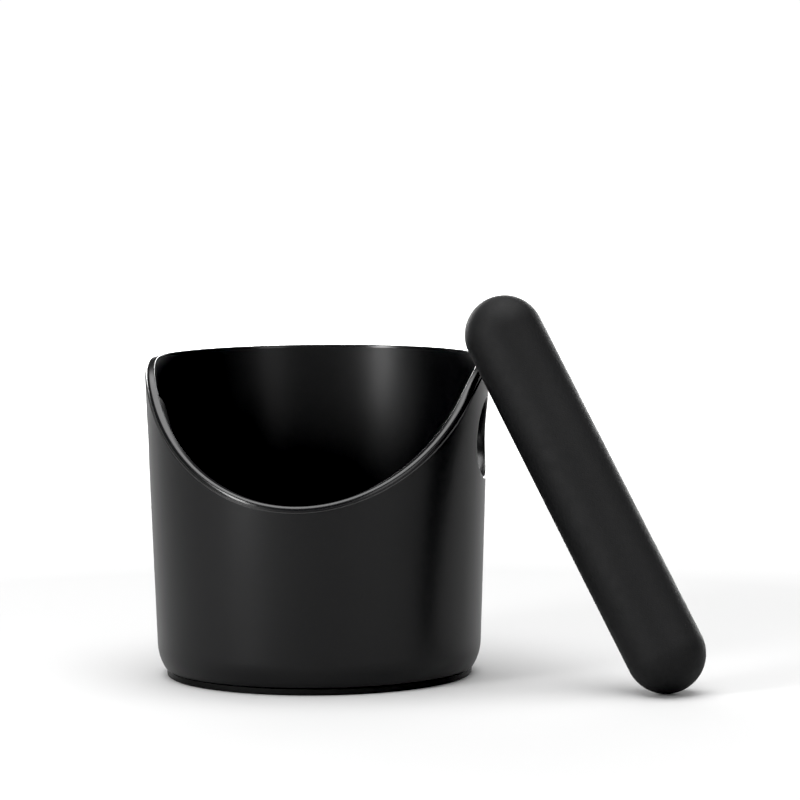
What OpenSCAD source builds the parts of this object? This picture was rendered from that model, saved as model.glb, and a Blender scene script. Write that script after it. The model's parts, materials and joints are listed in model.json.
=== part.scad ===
// Espresso knock box with a loose knock bar.
// Origin at the centre of the base on the table, +Z up. The mouth is swept down
// towards -Y, and the two sockets for the bar lie on a line along X. The bar
// leans on the box's edge with its foot on the table.

/* [Box] */
// Outer diameter of the rim
box_d = 130; // [120:1:140]
// Height of the rim above the table
box_h = 119.8; // [114:0.2:124]
// Draft of the side wall, degrees a side
box_draft = 2; // [1:0.25:3]
// Thickness of the wall
wall_t = 3.7; // [3.4:0.1:5]
// Thickness of the floor
floor_t = 3.5; // [3:0.5:6]
// Radius of the outer corner between wall and base
corner_r = 18; // [16:1:22]
// Height at which the wall runs into that corner
corner_h = 12; // [10:0.5:14]
// Radius of the fillet between wall and floor inside
fillet_r = 8; // [5:1:10]

/* [Mouth] */
// Height of the lip at the front
mouth_z = 69.8; // [60:0.2:78]
// Slope of the mouth's edge seen from the side, degrees
mouth_slope = 44; // [40:1:50]
// Radius that blends the slope into the level rim
mouth_blend_r = 46; // [30:1:60]
// Height of the band along the edge that is set back
lip_h = 2.4; // [1.6:0.2:4]
// Depth of that set-back
lip_step = 0.5; // [0.2:0.1:1]

/* [Bar sockets] */
// Diameter of the two side sockets
socket_d = 30; // [30:0.5:34]
// Height of their axis above the table
socket_z = 89.5; // [84:0.5:94]

/* [Base pad] */
// Height of the pad between table and box
pad_t = 2.5; // [1.5:0.5:4]
// How far the pad stands back from the box's lower edge
pad_inset = 0.5; // [0.2:0.1:1.5]
// Diameter of the rib that locates the pad under the box
rib_d = 84; // [70:1:100]
// Width of that rib
rib_w = 3; // [2:0.5:4]
// Height of that rib
rib_h = 1.2; // [0.8:0.2:1.6]
// Width of the two grip grooves in the pad's underside
groove_w = 2; // [1:0.5:3]
// Depth of those grooves
groove_depth = 0.8; // [0.4:0.2:1.2]

/* [Knock bar] */
// Diameter of the rubber sleeve
bar_d = 29.5; // [28:0.5:29.5]
// Length over the domed ends
bar_len = 162; // [156:1:168]
// Diameter of the steel tube
core_d = 19; // [16:1:21]
// Wall of the steel tube
core_wall = 1.5; // [1:0.25:2]
// Length of the steel tube
core_len = 120; // [112:1:124]
// Length of a plug's shank inside the tube
plug_shank = 12; // [8:1:16]
// Height of the plug's collar below its dome
plug_collar = 2; // [1:0.5:3]

/* [Resting place of the bar] */
// Place of the bar's foot on the table, along X
foot_x = 133.2; // [132.8:0.2:145]
// Place of the bar's foot on the table, along Y
foot_y = -43; // [-46:1:-40]
// Direction in which the bar leans, degrees from +X
lean_heading = 155; // [153:1:157]
// Tilt of the leaning bar from upright, degrees
lean_tilt = 30.5; // [26:0.5:30.5]

/* [Hidden] */
$fn = 96;

// Length by which a cutting tool passes the surface that it cuts
past = 10;
// Segments in a rounded stretch of a profile
arc_steps = 16;

// Centre of the outer corner's arc, the arc's end at the base, and the base's radius
corner_at = [wall_r(corner_h) - corner_r * cos(box_draft), corner_h + corner_r * sin(box_draft)];
corner_end = asin((corner_at.y - pad_t) / corner_r);
base_r = corner_at.x + corner_r * cos(corner_end);

// Top of the floor inside, and the centre of the fillet's arc
floor_z = pad_t + floor_t;
fillet_at = [wall_r(floor_z + fillet_r) - wall_t - fillet_r / cos(box_draft), floor_z + fillet_r];

// Centre of the arc, in Y and Z, that blends the mouth's slope into the rim:
// the slope passes through the middle of the wall at the front
mouth_y = -(wall_r(mouth_z) - wall_t / 2);
rim_y = mouth_y + (box_h - mouth_z) / tan(mouth_slope);
blend_at = [rim_y + mouth_blend_r * tan(mouth_slope / 2), box_h - mouth_blend_r];

// Outer radius of the wall at a height
function wall_r(z) = box_d / 2 - (box_h - z) * tan(box_draft);

// Points along an arc
function arc(centre, r, from, to) =
    [for (i = [0:arc_steps])
        let (a = from + (to - from) * i / arc_steps)
        centre + r * [cos(a), sin(a)]];

// Side view, in Y and Z, of the space above the mouth's edge lowered by drop
module above_edge(drop) {
    r = mouth_blend_r - drop;
    slope_end = blend_at + r * [-sin(mouth_slope), cos(mouth_slope)];
    front = slope_end - box_d * [cos(mouth_slope), sin(mouth_slope)];
    level_end = blend_at + [0, r];
    difference() {
        polygon([
            front,
            slope_end,
            blend_at,
            level_end,
            [box_d, level_end.y],
            [box_d, box_h + past],
            [front.x, box_h + past]
        ]);
        translate(blend_at) circle(r = r);
    }
}

// The same space through the whole width of the box
module above_edge_solid(drop) {
    rotate([90, 0, 90])
        linear_extrude(height = box_d + past, center = true)
            above_edge(drop);
}

// Everything outside the wall's outer face set back by lip_step
module outside_lip() {
    difference() {
        cylinder(r = box_d, h = box_h + past);
        cylinder(r1 = wall_r(0) - lip_step, r2 = wall_r(box_h + past) - lip_step, h = box_h + past);
    }
}

module box_blank() {
    rotate_extrude()
        polygon(concat(
            [[0, pad_t]],
            arc(corner_at, corner_r, -corner_end, -box_draft),
            [[wall_r(box_h), box_h], [0, box_h]]
        ));
}

module cavity() {
    top = box_h + past;
    rotate_extrude()
        polygon(concat(
            [[0, floor_z]],
            arc(fillet_at, fillet_r, -90, -box_draft),
            [[wall_r(top) - wall_t, top], [0, top]]
        ));
}

module socket_bore() {
    translate([0, 0, socket_z])
        rotate([0, 90, 0])
            cylinder(d = socket_d, h = box_d + past, center = true);
}

// Ring of width w and height h, whose middle line has diameter d
module ring(d, w, h) {
    difference() {
        cylinder(d = d + w, h = h);
        translate([0, 0, -h]) cylinder(d = d - w, h = 3 * h);
    }
}

module locating_rib() {
    translate([0, 0, pad_t]) ring(rib_d, rib_w, rib_h);
}

module box_body() {
    color("#232326")
        difference() {
            box_blank();
            cavity();
            above_edge_solid(0);
            intersection() {
                outside_lip();
                above_edge_solid(lip_h);
            }
            socket_bore();
            locating_rib();
        }
}

module base_pad() {
    pad_r = base_r - pad_inset;
    color("#0f0f10")
        union() {
            difference() {
                cylinder(r = pad_r, h = pad_t);
                for (share = [0.55, 0.85])
                    translate([0, 0, -groove_depth])
                        ring(2 * share * pad_r, groove_w, 2 * groove_depth);
            }
            locating_rib();
        }
}

// Rod along Z with domed ends, centred on its length
module capsule(d, length) {
    reach = (length - d) / 2;
    cylinder(d = d, h = 2 * reach, center = true);
    for (side = [-1, 1])
        translate([0, 0, side * reach]) sphere(d = d);
}

// Moves a bar along Z, centred on its length, to its place against the box
module leaning() {
    translate([foot_x, foot_y, bar_d / 2])
        rotate([0, lean_tilt, lean_heading])
            translate([0, 0, (bar_len - bar_d) / 2])
                children();
}

module bar_sleeve() {
    color("#1b1b1c")
        leaning()
            difference() {
                capsule(bar_d, bar_len);
                capsule(core_d, core_len + 2 * plug_collar + core_d);
            }
}

module bar_core_tube() {
    color("silver")
        leaning()
            difference() {
                cylinder(d = core_d, h = core_len, center = true);
                cylinder(d = core_d - 2 * core_wall, h = core_len + past, center = true);
            }
}

// Plug with its shoulder at the origin: the shank points down, the dome up
module end_plug() {
    translate([0, 0, -plug_shank]) cylinder(d = core_d - 2 * core_wall, h = plug_shank);
    cylinder(d = core_d, h = plug_collar);
    translate([0, 0, plug_collar])
        intersection() {
            sphere(d = core_d);
            cylinder(d = 2 * core_d, h = core_d);
        }
}

module bar_foot_plug() {
    color("ivory")
        leaning()
            mirror([0, 0, 1])
                translate([0, 0, core_len / 2]) end_plug();
}

module bar_top_plug() {
    color("ivory")
        leaning()
            translate([0, 0, core_len / 2]) end_plug();
}

box_body();
base_pad();
bar_sleeve();
bar_core_tube();
bar_foot_plug();
bar_top_plug();
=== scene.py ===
import json
import math

import bpy
import numpy as np
from mathutils import Matrix, Vector


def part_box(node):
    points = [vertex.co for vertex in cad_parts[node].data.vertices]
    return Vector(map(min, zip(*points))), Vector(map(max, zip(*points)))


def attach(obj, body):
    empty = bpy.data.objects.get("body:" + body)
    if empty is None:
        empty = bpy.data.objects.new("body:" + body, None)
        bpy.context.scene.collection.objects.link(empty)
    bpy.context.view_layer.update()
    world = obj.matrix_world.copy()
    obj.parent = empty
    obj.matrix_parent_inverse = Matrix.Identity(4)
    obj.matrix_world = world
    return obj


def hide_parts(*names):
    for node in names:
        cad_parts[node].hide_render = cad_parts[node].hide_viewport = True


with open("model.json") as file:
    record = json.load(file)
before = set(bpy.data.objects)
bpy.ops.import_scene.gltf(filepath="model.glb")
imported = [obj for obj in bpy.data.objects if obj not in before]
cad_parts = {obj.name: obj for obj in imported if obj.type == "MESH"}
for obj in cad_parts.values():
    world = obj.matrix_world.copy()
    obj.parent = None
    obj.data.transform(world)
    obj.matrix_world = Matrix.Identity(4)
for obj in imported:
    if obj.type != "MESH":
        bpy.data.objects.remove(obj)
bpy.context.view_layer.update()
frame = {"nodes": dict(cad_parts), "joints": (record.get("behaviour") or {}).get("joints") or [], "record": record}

# Espresso knock box with a loose knock bar. The box is one moulded shell with a
# rounded lip, the pad and the sleeve are rubber, and the steel tube and its two
# nylon plugs are inside the sleeve. Everything is in metres, in the CAD frame.

MM = 0.001

# ---------------------------------------------------------------- driving sizes
# Sizes that the frame gives
BODY_LOW, BODY_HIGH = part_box("box_body")
PAD_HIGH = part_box("base_pad")[1]
RIM_R = BODY_HIGH.x
RIM_Z = BODY_HIGH.z
PAD_TOP = BODY_LOW.z
PAD_R = PAD_HIGH.x
BORE = next(m for m in frame["record"]["mounts"] if m["name"] == "bar_socket")
BORE_R = BORE["dims"]["r_mm"] * MM
BORE_Z = BORE["pos_m"][2]
HINGE = next(j for j in frame["joints"] if j["name"] == "bar_tip")
FOOT_CENTRE = Vector(HINGE["pos_m"])

# Box, as in the CAD design
DRAFT = math.radians(2)
WALL_T = 3.7 * MM
FLOOR_T = 3.5 * MM
CORNER_R = 18 * MM
CORNER_Z = 12 * MM
FILLET_R = 8 * MM
RIB_IN, RIB_OUT, RIB_H = 40.5 * MM, 43.5 * MM, 1.2 * MM

# Mouth, as in the CAD design
MOUTH_Z = 69.8 * MM
MOUTH_SLOPE = math.radians(44)
MOUTH_BLEND = 46 * MM

# Lip along the edge: its rounded corners, the ledge under it, and the sockets' rounded edges
LIP_OUTER_ROUND = 1.6 * MM
LIP_INNER_ROUND = 0.5 * MM
LEDGE_DEPTH = 2.3 * MM
LEDGE_STEP = 0.45 * MM
LEDGE_ROUND = 0.2 * MM
SOCKET_ROUND = 0.6 * MM
BASE_ROUND = 0.5 * MM

# Pad grooves, as in the CAD design, and the pad's eased edges
GROOVE_SHARES = (0.55, 0.85)
GROOVE_W, GROOVE_DEPTH = 2 * MM, 0.8 * MM
GROOVE_EASE = 0.2 * MM
PAD_ROUND = 0.4 * MM

# Knock bar, as in the CAD design
BAR_R = FOOT_CENTRE.z
BAR_LEN = 162 * MM
BAR_HEADING, BAR_TILT = math.radians(155), math.radians(30.5)
CORE_R = 9.5 * MM
CORE_REACH = 62 * MM

# Mesh density. Below TURN_Z the box's rows are level rings, and above it they bend towards the mouth.
# CENTRE_R is the smallest ring of a turned piece, which a fan of triangles closes.
SIDES, BAR_SIDES, SOCKET_SIDES = 400, 160, 180
LIP_STEPS, LEDGE_STEPS, SOCKET_STEPS = 8, 4, 6
CORNER_STEPS, FILLET_STEPS, PAD_STEPS, DOME_STEPS = 20, 16, 5, 28
WALL_ROWS, LOW_WALL_ROWS, BAR_ROWS, CORE_ROWS = 36, 20, 90, 30
EDGE_PASSES = 12
TURN_Z = 52 * MM
CENTRE_R = 6 * MM
DOME_END = 88
SHARP_ANGLE = math.radians(35)


# ---------------------------------------------------------------- mesh helpers
def arc(centre, r, start, end, steps):
    """Points along an arc, angles in degrees."""
    angles = [math.radians(start + (end - start) * i / steps) for i in range(steps + 1)]
    return [(centre[0] + r * math.cos(a), centre[1] + r * math.sin(a)) for a in angles]


def line(start, end, steps):
    """Points that divide a straight line into equal steps, without its ends."""
    shares = [i / steps for i in range(1, steps)]
    return [tuple(a + (b - a) * t for a, b in zip(start, end)) for t in shares]


def closed_shell(vertices, faces, rows, poles):
    """Adds rows of points, each a closed loop, joined by quads and closed at the two poles."""
    base = len(vertices)
    sides = len(rows[0])
    for row in rows:
        vertices.extend(row)
    for k in range(len(rows) - 1):
        a, b = base + k * sides, base + (k + 1) * sides
        for i in range(sides):
            j = (i + 1) % sides
            faces.append((a + i, a + j, b + j, b + i))
    for pole, row in zip(poles, (0, len(rows) - 1)):
        start = base + row * sides
        vertices.append(pole)
        tip = len(vertices) - 1
        for i in range(sides):
            j = (i + 1) % sides
            faces.append((tip, start + j, start + i) if row == 0 else (tip, start + i, start + j))


def new_piece(name, vertices, faces):
    """Object made from points and faces, in the scene and shaded smooth."""
    mesh = bpy.data.meshes.new(name)
    mesh.from_pydata([tuple(v) for v in vertices], [], faces)
    mesh.validate()
    piece = bpy.data.objects.new(name, mesh)
    bpy.context.scene.collection.objects.link(piece)
    smooth(piece)
    return piece


def set_slots(piece, slots):
    """Gives each face its material slot."""
    piece.data.polygons.foreach_set("material_index", slots)


def smooth(piece):
    """Smooth shading with sharp corners."""
    piece.data.shade_smooth()
    piece.data.set_sharp_from_angle(angle=SHARP_ANGLE)


def ring(r, z, sides):
    """Points of a level ring about Z."""
    turns = [2 * math.pi * i / sides for i in range(sides)]
    return [(r * math.cos(a), r * math.sin(a), z) for a in turns]


def lathe(vertices, faces, outline, sides):
    """Turns an outline of (radius, height) points, which starts and ends near the axis, about Z."""
    rows = [ring(r, z, sides) for r, z in outline]
    closed_shell(vertices, faces, rows, [(0, 0, outline[0][1]), (0, 0, outline[-1][1])])


# ---------------------------------------------------------------- box
def wall_r(z):
    """Outer radius of the wall at a height."""
    return RIM_R - (RIM_Z - z) * math.tan(DRAFT)


MOUTH_Y = -(wall_r(MOUTH_Z) - WALL_T / 2)
RIM_Y = MOUTH_Y + (RIM_Z - MOUTH_Z) / math.tan(MOUTH_SLOPE)
BLEND_Y = RIM_Y + MOUTH_BLEND * math.tan(MOUTH_SLOPE / 2)
BLEND_Z = RIM_Z - MOUTH_BLEND
SLOPE_END_Y = BLEND_Y - MOUTH_BLEND * math.sin(MOUTH_SLOPE)


def edge_z(y):
    """Height of the mouth's edge, seen from the side."""
    if y > BLEND_Y:
        return RIM_Z
    if y > SLOPE_END_Y:
        return BLEND_Z + math.sqrt(MOUTH_BLEND ** 2 - (BLEND_Y - y) ** 2)
    return MOUTH_Z + (y - MOUTH_Y) * math.tan(MOUTH_SLOPE)


def edge_at(turn):
    """Height of the edge on the middle of the wall, at an angle about Z."""
    z = RIM_Z
    for _ in range(EDGE_PASSES):
        z = edge_z((wall_r(z) - WALL_T / 2) * math.sin(turn))
    return z


def lip_section():
    """Cross-section of the edge from the outer wall over the lip to the inner wall.
    Each point is its depth below the edge and its offset outwards from the middle of the wall."""
    outer, lip_face = WALL_T / 2, WALL_T / 2 - LEDGE_STEP
    r, r_out, r_in = LEDGE_ROUND, LIP_OUTER_ROUND, LIP_INNER_ROUND
    ledge = arc((outer - r, LEDGE_DEPTH + r), r, 0, -90, LEDGE_STEPS)
    root = arc((lip_face + r, LEDGE_DEPTH - r), r, 90, 180, LEDGE_STEPS)
    outer_corner = arc((lip_face - r_out, r_out), r_out, 0, -90, LIP_STEPS)
    inner_corner = arc((r_in - outer, r_in), r_in, -90, -180, LIP_STEPS)
    points = [(outer, LEDGE_DEPTH + 3 * r)] + ledge + root + outer_corner + inner_corner
    return [(depth, offset) for offset, depth in points + [(-outer, r_in + 3 * r)]]


def edge_rows():
    """Rows of points of the edge, each right round the box, with the row's angles and heights."""
    turns = [2 * math.pi * i / SIDES for i in range(SIDES)]
    heights = [edge_at(t) for t in turns]
    rows = []
    for depth, offset in lip_section():
        row = []
        for i, turn in enumerate(turns):
            z = heights[i]
            mid_r = wall_r(z) - WALL_T / 2
            rise = heights[(i + 1) % SIDES] - heights[i - 1]
            run = mid_r * 4 * math.pi / SIDES
            length = math.hypot(rise, run)
            row.append((turn + depth * rise / length / mid_r, z - depth * run / length, offset))
        rows.append(row)
    return rows


def wall_rows(row):
    """Rows of points from a row of the edge down the wall to the level ring at TURN_Z."""
    rows = []
    for k in range(1, WALL_ROWS + 1):
        t = k / WALL_ROWS
        level = []
        for i, (turn, z, offset) in enumerate(row):
            end = 2 * math.pi * i / SIDES
            level.append((turn + (end - turn) * t, z + (TURN_Z - z) * t, offset))
        rows.append(level)
    return rows


def on_wall(row):
    """Points in space of a row of angles, heights and offsets from the middle of the wall."""
    points = []
    for turn, z, offset in row:
        r = wall_r(z) - WALL_T / 2 + offset
        points.append((r * math.cos(turn), r * math.sin(turn), z))
    return points


def outside_outline():
    """Radius and height of the outside, from the middle of the underside up to TURN_Z."""
    centre = (wall_r(CORNER_Z) - CORNER_R * math.cos(DRAFT), CORNER_Z + CORNER_R * math.sin(DRAFT))
    low = math.degrees(math.asin((centre[1] - PAD_TOP) / CORNER_R))
    base_r = centre[0] + CORNER_R * math.cos(math.radians(low))
    base_z = PAD_TOP
    trim = math.degrees(BASE_ROUND / CORNER_R)
    centre_ring = (CENTRE_R, base_z)
    groove = [(RIB_IN, base_z), (RIB_IN, base_z + RIB_H), (RIB_OUT, base_z + RIB_H), (RIB_OUT, base_z)]
    eased = [(base_r - BASE_ROUND, base_z), (base_r - BASE_ROUND * 0.4, base_z + BASE_ROUND * 0.12)]
    corner = arc(centre, CORNER_R, -low + trim, -math.degrees(DRAFT), CORNER_STEPS)
    middle = [centre_ring] + line(centre_ring, groove[0], 4) + groove + line(groove[-1], eased[0], 4)
    return middle + eased + corner + line(corner[-1], (wall_r(TURN_Z), TURN_Z), LOW_WALL_ROWS)


def inside_outline():
    """Radius and height of the inside, from TURN_Z down to the middle of the floor."""
    floor_z = PAD_TOP + FLOOR_T
    centre_z = floor_z + FILLET_R
    centre = (wall_r(centre_z) - WALL_T - FILLET_R / math.cos(DRAFT), centre_z)
    fillet = arc(centre, FILLET_R, -math.degrees(DRAFT), -90, FILLET_STEPS)
    top = (wall_r(TURN_Z) - WALL_T, TURN_Z)
    centre_ring = (CENTRE_R, floor_z)
    return line(top, fillet[0], 18) + fillet + line(fillet[-1], centre_ring, 8) + [centre_ring]


def socket_cutter():
    """Closed tube along X that cuts both sockets and leaves their edges rounded."""
    e = SOCKET_ROUND
    angles = [math.radians(90 * i / SOCKET_STEPS) for i in range(SOCKET_STEPS)]
    clear_r = BORE_R + 1.3 * e
    past = 0.1 * MM
    far = RIM_R + 15 * MM

    def face_x(turn, r, depth):
        """Where the wall's face, at a depth below its outer face, is on a circle round the bore."""
        z = BORE_Z + r * math.sin(turn)
        return math.sqrt((wall_r(z) - depth) ** 2 - (r * math.cos(turn)) ** 2)

    def stations(turn):
        """Place along X and radius about the bore, from the middle of the box outwards."""
        rounding = [(e * (1 - math.sin(a)), BORE_R + e * (1 - math.cos(a))) for a in angles]
        inner, outer = face_x(turn, clear_r, WALL_T), face_x(turn, clear_r, 0)
        points = [(0, clear_r), (inner - 4 * MM, clear_r), (inner - past, clear_r)]
        points += [(face_x(turn, r, WALL_T) + x, r) for x, r in reversed(rounding)]
        points += [(face_x(turn, r, 0) - x, r) for x, r in rounding]
        return points + [(outer + past, clear_r), (far, clear_r)]

    turns = [2 * math.pi * i / SOCKET_SIDES for i in range(SOCKET_SIDES)]
    half = [stations(turn) for turn in turns]
    last = len(half[0]) - 1
    rows = []
    for side, k in [(-1, k) for k in range(last, 0, -1)] + [(1, k) for k in range(last + 1)]:
        row = []
        for turn, points in zip(turns, half):
            x, r = points[k]
            row.append((side * x, r * math.cos(turn), BORE_Z + r * math.sin(turn)))
        rows.append(row)
    vertices, faces = [], []
    closed_shell(vertices, faces, rows, [(-far, 0, BORE_Z), (far, 0, BORE_Z)])
    return new_piece("socket_cutter", vertices, faces)


def cut(piece, cutter):
    """Takes the cutter out of the piece, and deletes the cutter."""
    step = piece.modifiers.new("cut", "BOOLEAN")
    step.operation = "DIFFERENCE"
    step.solver = "EXACT"
    step.object = cutter
    bpy.context.view_layer.update()
    shape = piece.evaluated_get(bpy.context.evaluated_depsgraph_get())
    result = bpy.data.meshes.new_from_object(shape)
    piece.modifiers.clear()
    piece.data = result
    bpy.data.objects.remove(cutter)


def make_box(plain, polished):
    """Moulded shell. The lip and the sockets' edges are polished, the rest has the mould's grain."""
    edge = edge_rows()
    down_outside = [on_wall(row) for row in reversed(wall_rows(edge[0]))]
    over_edge = [on_wall(row) for row in edge]
    down_inside = [on_wall(row) for row in wall_rows(edge[-1])]
    outside, inside = outside_outline(), inside_outline()
    rows = [ring(r, z, SIDES) for r, z in outside]
    rows += down_outside + over_edge + down_inside
    rows += [ring(r, z, SIDES) for r, z in inside]
    vertices, faces = [], []
    closed_shell(vertices, faces, rows, [(0, 0, outside[0][1]), (0, 0, inside[-1][1])])
    piece = new_piece("moulded_box", vertices, faces)
    cutter = socket_cutter()
    for each in (piece, cutter):
        dress(each, plain, polished)
    lip_end = (len(outside) + len(down_outside) + len(edge) - 1) * SIDES
    lip_start = lip_end - 2 * (LIP_STEPS + 1) * SIDES
    set_slots(piece, [int(lip_start <= i < lip_end) for i in range(len(faces))])
    set_slots(cutter, [1] * len(cutter.data.polygons))
    cut(piece, cutter)
    smooth(piece)
    return piece


# ---------------------------------------------------------------- base pad
def make_pad():
    """Turned pad with a rounded rim, two grip grooves below and the locating rib on top."""
    e = PAD_ROUND
    outline = [(CENTRE_R, 0)]
    for share in GROOVE_SHARES:
        low, high = share * PAD_R - GROOVE_W / 2, share * PAD_R + GROOVE_W / 2
        outline += [(low - GROOVE_EASE, 0), (low, GROOVE_EASE), (low, GROOVE_DEPTH)]
        outline += [(high, GROOVE_DEPTH), (high, GROOVE_EASE), (high + GROOVE_EASE, 0)]
    outline += arc((PAD_R - e, e), e, -90, 0, PAD_STEPS)
    outline += arc((PAD_R - e, PAD_TOP - e), e, 0, 90, PAD_STEPS)
    outline += [(RIB_OUT, PAD_TOP), (RIB_OUT, PAD_TOP + RIB_H)]
    outline += [(RIB_IN, PAD_TOP + RIB_H), (RIB_IN, PAD_TOP), (CENTRE_R, PAD_TOP)]
    vertices, faces = [], []
    lathe(vertices, faces, outline, SIDES)
    return new_piece("rubber_base_pad", vertices, faces)


# ---------------------------------------------------------------- knock bar
def capsule_outline(r, reach, rows):
    """Outline of a rod with domed ends, centred on its length."""
    low = arc((0, -reach), r, -DOME_END, 0, DOME_STEPS)
    high = arc((0, reach), r, 0, DOME_END, DOME_STEPS)
    return low + line(low[-1], high[0], rows) + high


def leaning():
    """Place of the bar, centred on its length along Z, against the box."""
    turn = Matrix.Rotation(BAR_HEADING, 4, "Z") @ Matrix.Rotation(BAR_TILT, 4, "Y")
    up = Matrix.Translation((0, 0, BAR_LEN / 2 - BAR_R))
    return Matrix.Translation(FOOT_CENTRE) @ turn @ up


def make_sleeve():
    """Rubber sleeve with domed ends, and the closed space inside it for the tube and plugs."""
    vertices, faces = [], []
    lathe(vertices, faces, capsule_outline(BAR_R, BAR_LEN / 2 - BAR_R, BAR_ROWS), BAR_SIDES)
    outside = len(faces)
    lathe(vertices, faces, capsule_outline(CORE_R, CORE_REACH, CORE_ROWS), BAR_SIDES)
    faces = faces[:outside] + [tuple(reversed(f)) for f in faces[outside:]]
    piece = new_piece("rubber_sleeve", vertices, faces)
    piece.data.transform(leaning())
    return piece


# ---------------------------------------------------------------- materials
def material(name, **settings):
    """Empty node material with its shader's constants set: (nodes, links, shader)."""
    mat = bpy.data.materials.new(name)
    mat.use_nodes = True
    nodes, links = mat.node_tree.nodes, mat.node_tree.links
    nodes.clear()
    shader = nodes.new("ShaderNodeBsdfPrincipled")
    out = nodes.new("ShaderNodeOutputMaterial")
    links.new(shader.outputs["BSDF"], out.inputs["Surface"])
    for key, value in settings.items():
        shader.inputs[key.replace("_", " ")].default_value = value
    return mat, nodes, links, shader


def place(nodes):
    """Place on the piece, in metres, which moves with it."""
    return nodes.new("ShaderNodeTexCoord").outputs["Object"]


def stretched(nodes, links, vector, scale):
    """The place with each axis scaled, so that a pattern is drawn out along the axes with small scales."""
    step = nodes.new("ShaderNodeMapping")
    step.inputs["Scale"].default_value = scale
    links.new(vector, step.inputs["Vector"])
    return step.outputs["Vector"]


def noise(nodes, links, vector, scale, detail, roughness=0.5):
    """Cloudy noise from 0 to 1; the scale is in features per metre."""
    step = nodes.new("ShaderNodeTexNoise")
    step.inputs["Scale"].default_value = scale
    step.inputs["Detail"].default_value = detail
    step.inputs["Roughness"].default_value = roughness
    links.new(vector, step.inputs["Vector"])
    return step.outputs["Fac"]


def remap(nodes, links, value, low, high, to_low, to_high):
    """Straight ramp from one range to another, held at its ends."""
    step = nodes.new("ShaderNodeMapRange")
    step.inputs["From Min"].default_value = low
    step.inputs["From Max"].default_value = high
    step.inputs["To Min"].default_value = to_low
    step.inputs["To Max"].default_value = to_high
    links.new(value, step.inputs["Value"])
    return step.outputs["Result"]


def math_step(nodes, links, operation, a, b):
    """Arithmetic on two values, each a number or another node's output."""
    step = nodes.new("ShaderNodeMath")
    step.operation = operation
    for socket, value in zip(step.inputs, (a, b)):
        if isinstance(value, (int, float)):
            socket.default_value = value
        else:
            links.new(value, socket)
    return step.outputs["Value"]


def mix_colour(nodes, links, share, low, high):
    """Blend of two colours, each a tuple or another node's output."""
    step = nodes.new("ShaderNodeMix")
    step.data_type = "RGBA"
    links.new(share, step.inputs["Factor"])
    # A Mix node keeps its colour inputs at 6 and 7, and its colour output at 2
    for socket, value in ((step.inputs[6], low), (step.inputs[7], high)):
        if isinstance(value, tuple):
            socket.default_value = (*value, 1)
        else:
            links.new(value, socket)
    return step.outputs[2]


def bump(nodes, links, height, strength, distance, normal=None):
    """Normal of a surface raised by a height, on top of another bump if one is given."""
    step = nodes.new("ShaderNodeBump")
    step.inputs["Strength"].default_value = strength
    step.inputs["Distance"].default_value = distance
    links.new(height, step.inputs["Height"])
    if normal is not None:
        links.new(normal, step.inputs["Normal"])
    return step.outputs["Normal"]


def specks(nodes, links, vector, scale, size):
    """1 in small round specks spread at random, 0 elsewhere."""
    cells = nodes.new("ShaderNodeTexVoronoi")
    cells.inputs["Scale"].default_value = scale
    cells.inputs["Randomness"].default_value = 1
    links.new(vector, cells.inputs["Vector"])
    return remap(nodes, links, cells.outputs["Distance"], size, size * 0.5, 0, 1)


def moulded_plastic(name, ior, rough, grain_strength):
    """Black moulded plastic: fine spark-eroded grain, faint flow marks and a little handling wear."""
    mat, nodes, links, shader = material(name, IOR=ior)
    at = place(nodes)
    grain = noise(nodes, links, at, 2600, 2)
    cloud = noise(nodes, links, at, 28, 4)
    flow = noise(nodes, links, stretched(nodes, links, at, (1, 1, 0.25)), 60, 5)
    scuffs = noise(nodes, links, stretched(nodes, links, at, (1, 1, 6)), 900, 3)
    worn = remap(nodes, links, scuffs, 0.60, 0.78, 0, 1)
    pale_share = math_step(nodes, links, "MULTIPLY", worn, 0.25)
    colour = mix_colour(nodes, links, cloud, (0.0065, 0.0065, 0.0070), (0.0095, 0.0095, 0.0100))
    colour = mix_colour(nodes, links, pale_share, colour, (0.03, 0.03, 0.031))
    links.new(colour, shader.inputs["Base Color"])
    sheen = remap(nodes, links, flow, 0.3, 0.7, rough - 0.03, rough + 0.03)
    dulled = math_step(nodes, links, "MULTIPLY", worn, 0.05)
    links.new(math_step(nodes, links, "ADD", sheen, dulled), shader.inputs["Roughness"])
    wavy = bump(nodes, links, cloud, 0.15, 0.0004)
    links.new(bump(nodes, links, grain, grain_strength, 0.00006, wavy), shader.inputs["Normal"])
    return mat


def rubber(name, dark, light, rough, grain_scale, dust):
    """Matte rubber with a fine grain, soft marks from handling and a few specks of dust."""
    mat, nodes, links, shader = material(name, IOR=1.5, Specular_IOR_Level=0.3)
    at = place(nodes)
    grain = noise(nodes, links, at, grain_scale, 3)
    cloud = noise(nodes, links, at, 35, 4)
    marks = noise(nodes, links, at, 240, 5, 0.6)
    lint = remap(nodes, links, noise(nodes, links, at, 18, 2), 0.5, 0.62, 0, 1)
    share = math_step(nodes, links, "MULTIPLY", lint, dust)
    dusty = math_step(nodes, links, "MULTIPLY", specks(nodes, links, at, 130, 0.045), share)
    colour = mix_colour(nodes, links, cloud, dark, light)
    links.new(mix_colour(nodes, links, dusty, colour, (0.22, 0.22, 0.21)), shader.inputs["Base Color"])
    links.new(remap(nodes, links, marks, 0.3, 0.7, rough - 0.05, rough + 0.05), shader.inputs["Roughness"])
    soft = bump(nodes, links, marks, 0.10, 0.0002)
    links.new(bump(nodes, links, grain, 0.8, 0.00008, soft), shader.inputs["Normal"])
    return mat


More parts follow.
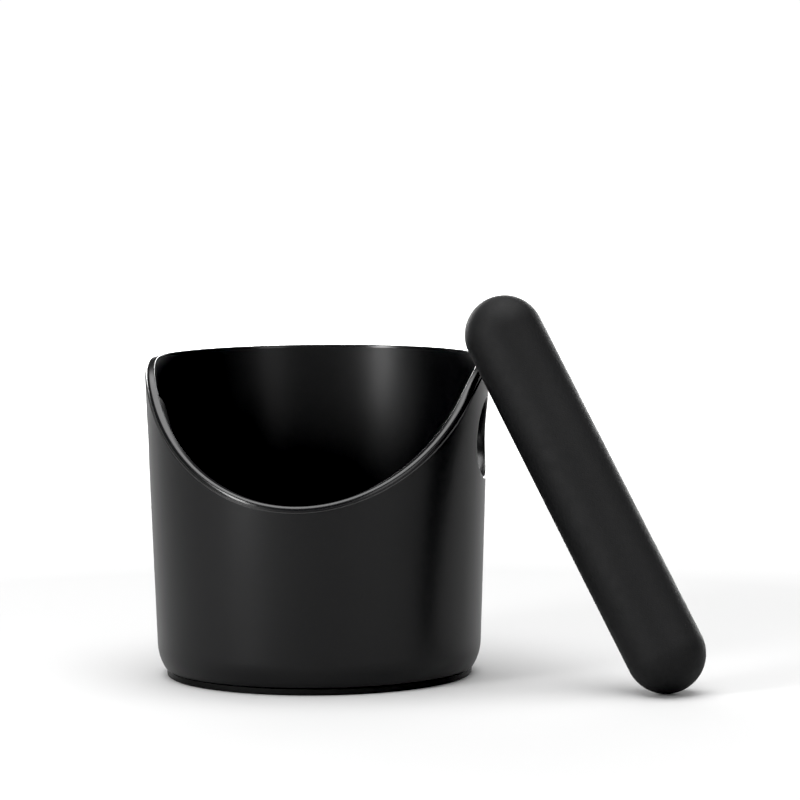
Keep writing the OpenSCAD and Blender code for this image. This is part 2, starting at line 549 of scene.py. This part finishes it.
def drawn_steel():
    """Cold-drawn tube: fine lines along the draw, dull patches of oxide."""
    mat, nodes, links, shader = material("drawn_steel", Metallic=1.0, Anisotropic=0.4)
    at = place(nodes)
    lines = noise(nodes, links, stretched(nodes, links, at, (1, 1, 0.02)), 2400, 2)
    patches = noise(nodes, links, at, 55, 5)
    colour = mix_colour(nodes, links, patches, (0.44, 0.44, 0.46), (0.62, 0.62, 0.63))
    links.new(colour, shader.inputs["Base Color"])
    links.new(remap(nodes, links, patches, 0.35, 0.65, 0.28, 0.42), shader.inputs["Roughness"])
    links.new(bump(nodes, links, lines, 0.25, 0.00005), shader.inputs["Normal"])
    return mat


def moulded_nylon():
    """Natural nylon: warm white, slightly translucent, with a fine moulded grain."""
    mat, nodes, links, shader = material("moulded_nylon", Subsurface_Weight=0.15, Subsurface_Scale=0.002)
    at = place(nodes)
    cloud = noise(nodes, links, at, 120, 4)
    colour = mix_colour(nodes, links, cloud, (0.60, 0.56, 0.47), (0.72, 0.69, 0.61))
    links.new(colour, shader.inputs["Base Color"])
    links.new(remap(nodes, links, cloud, 0.3, 0.7, 0.42, 0.55), shader.inputs["Roughness"])
    links.new(bump(nodes, links, noise(nodes, links, at, 2200, 2), 0.2, 0.00005), shader.inputs["Normal"])
    return mat


def dress(piece, *mats):
    """Gives a piece its material slots."""
    piece.data.materials.clear()
    for mat in mats:
        piece.data.materials.append(mat)


# ---------------------------------------------------------------- stage
def make_floor():
    """Pale seamless floor, much larger than the object. Near the object it shows its shading and
    shadows, and it brightens into the white surround with distance. Reflections see it dimmer."""
    half, gap = 30.0, 0.05 * MM
    fade_start, fade_end = 0.3, 1.2
    corners = [(-half, -half, -gap), (half, -half, -gap), (half, half, -gap), (-half, half, -gap)]
    floor = new_piece("floor", corners, [(0, 1, 2, 3)])
    mat, nodes, links, shader = material("pale_floor", Roughness=0.9, Specular_IOR_Level=0.0)
    at = place(nodes)
    tone = noise(nodes, links, at, 3, 2)
    seen = nodes.new("ShaderNodeLightPath").outputs["Is Camera Ray"]
    pale = mix_colour(nodes, links, tone, (0.725, 0.725, 0.725), (0.745, 0.745, 0.745))
    links.new(mix_colour(nodes, links, seen, (0.46, 0.46, 0.46), pale), shader.inputs["Base Color"])
    reach = nodes.new("ShaderNodeVectorMath")
    reach.operation = "LENGTH"
    links.new(at, reach.inputs[0])
    far = remap(nodes, links, reach.outputs["Value"], fade_start, fade_end, 0, 1)
    shader.inputs["Emission Color"].default_value = (1, 1, 1, 1)
    links.new(math_step(nodes, links, "MULTIPLY", seen, far), shader.inputs["Emission Strength"])
    dress(floor, mat)


def soft_box(name, azimuth, elevation, distance, width, height, radiance):
    """Square-on soft box. Azimuth 0 is at the front, -Y, and grows towards +X."""
    a, e = math.radians(azimuth), math.radians(elevation)
    aim = Vector((0, 0, 0.07))
    out = Vector((math.sin(a) * math.cos(e), -math.cos(a) * math.cos(e), math.sin(e)))
    lamp = bpy.data.lights.new(name, "AREA")
    lamp.shape = "RECTANGLE"
    lamp.size, lamp.size_y = width, height
    lamp.energy = radiance * math.pi * width * height
    box = bpy.data.objects.new(name, lamp)
    box.location = aim + out * distance
    box.rotation_euler = out.to_track_quat("Z", "Y").to_euler()
    bpy.context.scene.collection.objects.link(box)


def make_surround():
    """White surround: bright low behind the object, a little to the left, and straight above it.
    The camera sees plain white."""
    world = bpy.data.worlds.new("white_surround")
    world.use_nodes = True
    bpy.context.scene.world = world
    nodes, links = world.node_tree.nodes, world.node_tree.links
    nodes.clear()
    direction = nodes.new("ShaderNodeSeparateXYZ")
    links.new(nodes.new("ShaderNodeTexCoord").outputs["Generated"], direction.inputs["Vector"])
    behind = math_step(nodes, links, "MULTIPLY", direction.outputs["Y"], 0.99)
    left = math_step(nodes, links, "MULTIPLY", direction.outputs["X"], -0.14)
    back = remap(nodes, links, math_step(nodes, links, "ADD", behind, left), 0.72, 0.98, 0.0, 17.0)
    low = remap(nodes, links, direction.outputs["Z"], 0.18, 0.36, 1.0, 0.0)
    low_back = math_step(nodes, links, "MULTIPLY", back, low)
    top = remap(nodes, links, direction.outputs["Z"], 0.80, 0.92, 0.08, 3.6)
    lit = nodes.new("ShaderNodeBackground")
    lit.inputs["Color"].default_value = (1, 1, 1, 1)
    links.new(math_step(nodes, links, "ADD", low_back, top), lit.inputs["Strength"])
    plain = nodes.new("ShaderNodeBackground")
    plain.inputs["Color"].default_value = (1, 1, 1, 1)
    plain.inputs["Strength"].default_value = 1.02
    choose = nodes.new("ShaderNodeMixShader")
    links.new(nodes.new("ShaderNodeLightPath").outputs["Is Camera Ray"], choose.inputs["Fac"])
    links.new(lit.outputs["Background"], choose.inputs[1])
    links.new(plain.outputs["Background"], choose.inputs[2])
    out = nodes.new("ShaderNodeOutputWorld")
    links.new(choose.outputs["Shader"], out.inputs["Surface"])


def make_camera():
    """Long lens at the front, a little to the right of the mouth and above the rim."""
    azimuth, distance, height = math.radians(7.97), 1.5, 0.2322
    pitch, yaw, roll = math.radians(-4.924), math.radians(1.191), math.radians(-0.419)
    view = bpy.data.cameras.new("camera")
    view.sensor_width = 36
    view.lens = 179.8
    view.clip_end = 100
    camera = bpy.data.objects.new("camera", view)
    turn = Matrix.Rotation(azimuth, 4, "Z") @ Matrix.Rotation(-yaw, 4, "Z")
    aim = Matrix.Rotation(math.pi / 2 + pitch, 4, "X") @ Matrix.Rotation(roll, 4, "Z")
    place_at = Matrix.Translation((distance * math.sin(azimuth), -distance * math.cos(azimuth), height))
    camera.matrix_world = place_at @ turn @ aim
    bpy.context.scene.collection.objects.link(camera)
    bpy.context.scene.camera = camera


# ---------------------------------------------------------------- scene
make_camera()

plastic = moulded_plastic("moulded_plastic", 1.42, 0.33, 0.22)
box = make_box(plastic, moulded_plastic("polished_edge", 1.6, 0.20, 0.08))
pad = make_pad()
sleeve = make_sleeve()

dress(pad, rubber("pad_rubber", (0.004, 0.004, 0.004), (0.007, 0.007, 0.007), 0.75, 1800, 0.3))
dress(sleeve, rubber("sleeve_rubber", (0.009, 0.009, 0.0095), (0.014, 0.014, 0.0145), 0.64, 2200, 1.0))
dress(frame["nodes"]["bar_core_tube"], drawn_steel())
nylon = moulded_nylon()
dress(frame["nodes"]["bar_foot_plug"], nylon)
dress(frame["nodes"]["bar_top_plug"], nylon)

for piece, body, node, slot in (
    (box, "box", "box_body", "box_abs"),
    (pad, "box", "base_pad", "pad_rubber"),
    (sleeve, "knock_bar", "bar_sleeve", "bar_rubber"),
):
    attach(piece, body)
    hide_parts(node)
    dress(frame["nodes"][node], piece.data.materials[0])

make_floor()
make_surround()
soft_box("front_top", -10, 62, 1.4, 0.9, 0.6, 0.4)
soft_box("left", -42, 17, 0.95, 0.22, 0.6, 11.0)
soft_box("right", 48, 17, 1.0, 0.6, 0.6, 1.25)

# The photograph's deep blacks
grade = bpy.context.scene.view_settings
grade.view_transform = "Standard"
grade.use_curve_mapping = True
grade.curve_mapping.black_level = (0.007, 0.007, 0.007)
